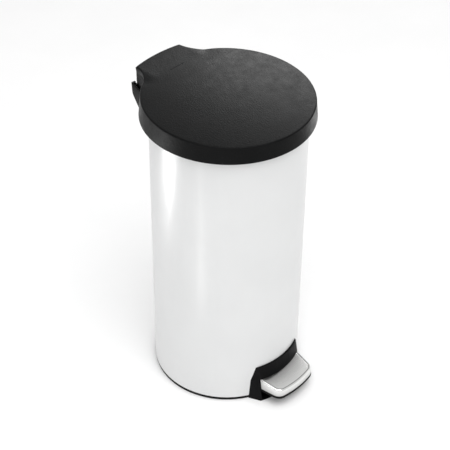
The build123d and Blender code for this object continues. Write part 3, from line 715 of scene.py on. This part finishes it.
def zinc_plate(name, dark, light):
    """Zinc-plated steel: soft crystal patches over a rolled grain."""
    s = Shader(name, Metallic=1.0)
    patch = s.cells(130.0, output="Color")
    shade = s.add("ShaderNodeRGBToBW", {"Color": patch}).outputs[0]
    film = s.noise(22.0, 5.0)
    blend = s.maths("ADD", s.maths("MULTIPLY", shade, 0.5), s.maths("MULTIPLY", film, 0.6))
    colour = s.ramp(blend, [(0.25, dark), (0.80, light)])
    roughness = s.remap(blend, 0.2, 0.9, 0.28, 0.46)
    return s.wire(Base_Color=colour, Roughness=roughness,
                  Normal=s.bump(s.noise(700.0, 4.0), 0.12, 0.0002))


def rubber():
    """Moulded rubber with a chalky bloom."""
    s = Shader("black_rubber")
    fine = s.noise(1500.0, 4.0)
    bloom = s.noise(80.0, 5.0)
    colour = s.ramp(bloom, [(0.35, (0.012, 0.012, 0.012)), (0.7, (0.030, 0.030, 0.031))])
    return s.wire(Base_Color=colour, Roughness=s.remap(bloom, 0.3, 0.7, 0.65, 0.85),
                  Normal=s.bump(fine, 0.3, 0.0002))


def nylon():
    """Uncoloured nylon, slightly see-through, with flow marks."""
    s = Shader("natural_nylon", Subsurface_Weight=0.25, Subsurface_Scale=0.002)
    flow = s.noise(120.0, 5.0)
    colour = s.ramp(flow, [(0.30, (0.66, 0.64, 0.57)), (0.75, (0.78, 0.76, 0.70))])
    return s.wire(Base_Color=colour, Roughness=s.remap(flow, 0.3, 0.7, 0.35, 0.5),
                  Normal=s.bump(s.noise(900.0, 3.0), 0.15, 0.0002))


def make_materials():
    """One material per slot of the record."""
    return {
        "painted_body": painted_steel(),
        "lid_plastic": grained_plastic("lid_black", (0.0026, 0.0027, 0.0028),
                                       (0.0048, 0.0050, 0.0052), rough=(0.36, 0.50),
                                       grain=420.0, depth=0.9, shine=0.07),
        "housing_plastic": grained_plastic("housing_black", (0.0030, 0.0030, 0.0032),
                                           (0.0055, 0.0055, 0.006), rough=(0.4, 0.52),
                                           grain=900.0, depth=0.3, shine=0.066),
        "base_plastic": grained_plastic("base_black", (0.005, 0.005, 0.005),
                                        (0.010, 0.010, 0.010), rough=(0.5, 0.65), shine=0.08),
        "inner_plastic": grained_plastic("inner_black", (0.028, 0.028, 0.030),
                                         (0.042, 0.042, 0.045), rough=(0.4, 0.55),
                                         grain=1800.0),
        "bucket_plastic": grained_plastic("bucket_grey", (0.085, 0.088, 0.092),
                                          (0.115, 0.118, 0.124), rough=(0.34, 0.5),
                                          grain=1500.0, depth=0.15),
        "pedal_steel": brushed_metal("pedal_steel", (0.76, 0.76, 0.75), (0.82, 0.82, 0.81),
                                     (40.0, 2200.0, 600.0), (0.12, 0.18), painted_nook_shade=True),
        "pad_plastic": grained_plastic("pad_black", (0.004, 0.004, 0.004), (0.008, 0.008, 0.008),
                                       rough=(0.5, 0.6), shine=0.06),
        "zinc_steel": zinc_plate("zinc_steel", (0.42, 0.42, 0.41), (0.64, 0.65, 0.66)),
        "fastener_steel": zinc_plate("fastener_steel", (0.34, 0.34, 0.33), (0.58, 0.58, 0.58)),
        "spring_steel": brushed_metal("spring_steel", (0.30, 0.30, 0.31), (0.45, 0.45, 0.46),
                                      (900.0, 900.0, 60.0), (0.2, 0.35)),
        "rubber": rubber(),
        "natural_nylon": nylon(),
        "damper_plastic": grained_plastic("damper_black", (0.020, 0.020, 0.022),
                                          (0.034, 0.034, 0.037), rough=(0.25, 0.4),
                                          grain=1800.0, depth=0.1),
    }


def dress(piece, material):
    """Makes this the piece's only material."""
    piece.data.materials.clear()
    piece.data.materials.append(material)


# --- the scene ------------------------------------------------------------------------------------

add_camera()
add_studio()
materials = make_materials()
SLOTS = {part["node"]: part["material_slot"] for part in frame["record"]["subparts"]}
# CAD nodes that only get rounded edges: node, body and bevel width in millimetres.
ROUNDED = (("pedal_housing", "can", 0.9), ("hinge_bracket", "can", 0.7), ("base_ring", "can", 0.5),
           ("top_collar", "can", 0.25), ("inner_bucket", "bucket", 0.4), ("pedal_lever", "pedal", 0.4),
           ("lid_crank", "lid", 0.3))
for part in frame["record"]["subparts"]:
    dress(NODES[part["node"]], materials[part["material_slot"]])
make_lid()
make_lid_mark()
make_pedal_cap()
make_pedal_pad()
make_spring()
for node, body, width in ROUNDED:
    finish_piece(joined_copy(node), body, SLOTS[node], [node], bevel=width)
